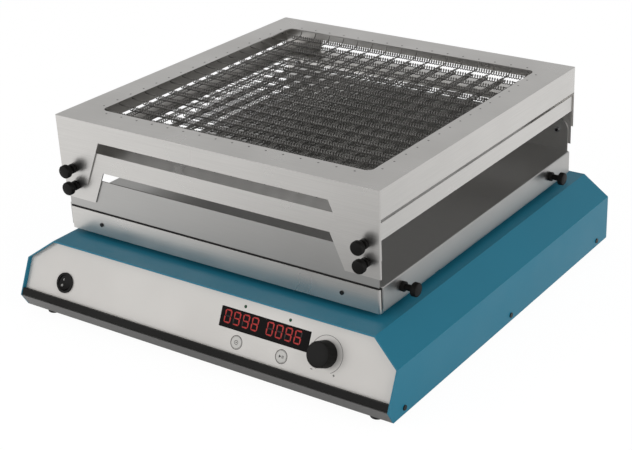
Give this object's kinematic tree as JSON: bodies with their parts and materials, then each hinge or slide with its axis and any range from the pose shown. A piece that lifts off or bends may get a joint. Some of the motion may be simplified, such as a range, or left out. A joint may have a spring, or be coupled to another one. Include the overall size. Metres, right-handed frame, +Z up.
{
  "type": "orbital shaker",
  "caption": "Bench orbital shaker: low leaning-front base with display and knob, orbiting table with two stainless frames strung with crossed springs.",
  "frame": {"origin": "on the ground under the middle of the base, which is the middle of the whole at rest", "axes": "+Z up, -Y towards the control panel, +X to the right seen from the front"},
  "size_m": [0.5124, 0.513, 0.233],
  "materials": {
    "blue_paint": "semi-gloss blue enamel on folded sheet",
    "panel_silver": "silver panel paint, fine texture",
    "pan_grey": "grey paint on folded sheet",
    "black_plastic": "moulded black plastic",
    "window": "dark red-tinted display window",
    "led_green": "green lens",
    "key_film": "key caps in the panel's colour",
    "rubber": "black rubber",
    "black_steel": "black oxide screws",
    "stainless": "brushed stainless sheet",
    "spring_steel": "dark coil springs",
    "machined_steel": "turned steel",
    "cast_metal": "cast iron",
    "cast_aluminium": "turned aluminium",
    "motor_case": "painted motor case",
    "electronics": "green circuit board with parts",
    "supply_case": "folded case of the power supply"
  },
  "bodies": {
    "base": {"base_pan": "pan_grey", "housing_cover": "blue_paint", "front_panel": "panel_silver", "front_trim_strip": "black_plastic", "rear_panel": "pan_grey", "power_inlet": "black_plastic", "switch_housing": "black_plastic", "display_window": "window", "display_board": "electronics", "status_leds": "led_green", "encoder_body": "electronics", "rubber_feet": "rubber", "foot_screws": "black_steel", "cover_screws": "black_steel", "bearing_housings": "cast_aluminium", "shaft_bearings": "machined_steel", "drive_motor": "motor_case", "motor_bracket": "machined_steel", "drive_belt": "rubber", "power_supply": "supply_case", "control_board": "electronics"},
    "power_rocker": {"power_rocker": "black_plastic"},
    "left_key": {"left_key": "key_film"},
    "right_key": {"right_key": "key_film"},
    "speed_knob": {"speed_knob": "black_plastic", "encoder_shaft": "machined_steel"},
    "motor_rotor": {"motor_shaft": "machined_steel", "motor_pulley": "cast_aluminium"},
    "main_crank": {"main_crankshaft": "machined_steel", "main_pulley": "cast_aluminium", "counterweight": "cast_metal"},
    "idler_1": {"idler_crank_1": "machined_steel"},
    "idler_2": {"idler_crank_2": "machined_steel"},
    "idler_3": {"idler_crank_3": "machined_steel"},
    "table": {"table_plate": "stainless", "skirt_screws": "machined_steel", "table_hubs": "cast_aluminium", "hub_bearings": "machined_steel", "grip_mat": "rubber", "base_tray": "stainless", "lower_frame": "stainless", "upper_frame": "stainless", "lower_springs_x": "spring_steel", "lower_springs_y": "spring_steel", "upper_springs_x": "spring_steel", "upper_springs_y": "spring_steel", "clamp_nuts": "machined_steel"},
    "upper_thumb_screw_front_left": {"upper_thumb_screw_front_left": "black_plastic"},
    "lower_thumb_screw_front_left": {"lower_thumb_screw_front_left": "black_plastic"},
    "side_thumb_screw_front_left": {"side_thumb_screw_front_left": "black_plastic"},
    "upper_thumb_screw_front_right": {"upper_thumb_screw_front_right": "black_plastic"},
    "lower_thumb_screw_front_right": {"lower_thumb_screw_front_right": "black_plastic"},
    "side_thumb_screw_front_right": {"side_thumb_screw_front_right": "black_plastic"},
    "upper_thumb_screw_rear_left": {"upper_thumb_screw_rear_left": "black_plastic"},
    "lower_thumb_screw_rear_left": {"lower_thumb_screw_rear_left": "black_plastic"},
    "side_thumb_screw_rear_left": {"side_thumb_screw_rear_left": "black_plastic"},
    "upper_thumb_screw_rear_right": {"upper_thumb_screw_rear_right": "black_plastic"},
    "lower_thumb_screw_rear_right": {"lower_thumb_screw_rear_right": "black_plastic"},
    "side_thumb_screw_rear_right": {"side_thumb_screw_rear_right": "black_plastic"}
  },
  "joints": [
    {"name": "power_rocker_tilt", "type": "hinge", "parent": "base", "child": "power_rocker", "pos_m": [-0.1959, -0.23933, 0.0465], "axis": [1, 0, 0], "range_deg": [0, 20]},
    {"name": "left_key_press", "type": "slide", "parent": "base", "child": "left_key", "axis": [0, 0.9075, -0.4201], "range_m": [0, 0.0008], "stiffness_N_per_m": 1500, "springref_m": -0.0005},
    {"name": "right_key_press", "type": "slide", "parent": "base", "child": "right_key", "axis": [0, 0.9075, -0.4201], "range_m": [0, 0.0008], "stiffness_N_per_m": 1500, "springref_m": -0.0005},
    {"name": "speed_knob_turn", "type": "hinge", "parent": "base", "child": "speed_knob", "pos_m": [0.1676, -0.23587, 0.05636], "axis": [0, -0.9075, 0.4201], "continuous": true},
    {"name": "drive_spin", "type": "hinge", "parent": "base", "child": "main_crank", "pos_m": [0, 0.015, 0.05], "axis": [0, 0, 1], "continuous": true},
    {"name": "table_pin_turn", "type": "hinge", "parent": "main_crank", "child": "table", "pos_m": [-0.00707, 0.02207, 0.11], "axis": [0, 0, 1], "continuous": true},
    {"name": "idler_1_spin", "type": "hinge", "parent": "base", "child": "idler_1", "pos_m": [0, 0.18, 0.05], "axis": [0, 0, 1], "continuous": true},
    {"name": "idler_2_spin", "type": "hinge", "parent": "base", "child": "idler_2", "pos_m": [-0.14289, -0.0675, 0.05], "axis": [0, 0, 1], "continuous": true},
    {"name": "idler_3_spin", "type": "hinge", "parent": "base", "child": "idler_3", "pos_m": [0.14289, -0.0675, 0.05], "axis": [0, 0, 1], "continuous": true},
    {"name": "motor_spin", "type": "hinge", "parent": "base", "child": "motor_rotor", "pos_m": [0.10392, 0.075, 0.05], "axis": [0, 0, 1], "continuous": true},
    {"name": "upper_thumb_screw_front_left_turn", "type": "hinge", "parent": "table", "child": "upper_thumb_screw_front_left", "pos_m": [-0.20607, -0.19643, 0.1718], "axis": [0, -1, 0], "continuous": true},
    {"name": "lower_thumb_screw_front_left_turn", "type": "hinge", "parent": "table", "child": "lower_thumb_screw_front_left", "pos_m": [-0.20607, -0.19463, 0.1504], "axis": [0, -1, 0], "continuous": true},
    {"name": "side_thumb_screw_front_left_turn", "type": "hinge", "parent": "table", "child": "side_thumb_screw_front_left", "pos_m": [-0.22357, -0.15593, 0.1105], "axis": [-1, 0, 0], "continuous": true},
    {"name": "upper_thumb_screw_front_right_turn", "type": "hinge", "parent": "table", "child": "upper_thumb_screw_front_right", "pos_m": [0.19193, -0.19643, 0.1718], "axis": [0, -1, 0], "continuous": true},
    {"name": "lower_thumb_screw_front_right_turn", "type": "hinge", "parent": "table", "child": "lower_thumb_screw_front_right", "pos_m": [0.19193, -0.19463, 0.1504], "axis": [0, -1, 0], "continuous": true},
    {"name": "side_thumb_screw_front_right_turn", "type": "hinge", "parent": "table", "child": "side_thumb_screw_front_right", "pos_m": [0.20943, -0.15593, 0.1105], "axis": [1, 0, 0], "continuous": true},
    {"name": "upper_thumb_screw_rear_left_turn", "type": "hinge", "parent": "table", "child": "upper_thumb_screw_rear_left", "pos_m": [-0.20607, 0.24057, 0.1718], "axis": [0, 1, 0], "continuous": true},
    {"name": "lower_thumb_screw_rear_left_turn", "type": "hinge", "parent": "table", "child": "lower_thumb_screw_rear_left", "pos_m": [-0.20607, 0.23877, 0.1504], "axis": [0, 1, 0], "continuous": true},
    {"name": "side_thumb_screw_rear_left_turn", "type": "hinge", "parent": "table", "child": "side_thumb_screw_rear_left", "pos_m": [-0.22357, 0.18107, 0.1105], "axis": [-1, 0, 0], "continuous": true},
    {"name": "upper_thumb_screw_rear_right_turn", "type": "hinge", "parent": "table", "child": "upper_thumb_screw_rear_right", "pos_m": [0.19193, 0.24057, 0.1718], "axis": [0, 1, 0], "continuous": true},
    {"name": "lower_thumb_screw_rear_right_turn", "type": "hinge", "parent": "table", "child": "lower_thumb_screw_rear_right", "pos_m": [0.19193, 0.23877, 0.1504], "axis": [0, 1, 0], "continuous": true},
    {"name": "side_thumb_screw_rear_right_turn", "type": "hinge", "parent": "table", "child": "side_thumb_screw_rear_right", "pos_m": [0.20943, 0.18107, 0.1105], "axis": [1, 0, 0], "continuous": true}
  ],
  "couplings": [
    {"joint": "table_pin_turn", "follows": "drive_spin", "ratio": -1},
    {"joint": "idler_1_spin", "follows": "drive_spin", "ratio": 1},
    {"joint": "idler_2_spin", "follows": "drive_spin", "ratio": 1},
    {"joint": "idler_3_spin", "follows": "drive_spin", "ratio": 1},
    {"joint": "motor_spin", "follows": "drive_spin", "ratio": 4}
  ]
}
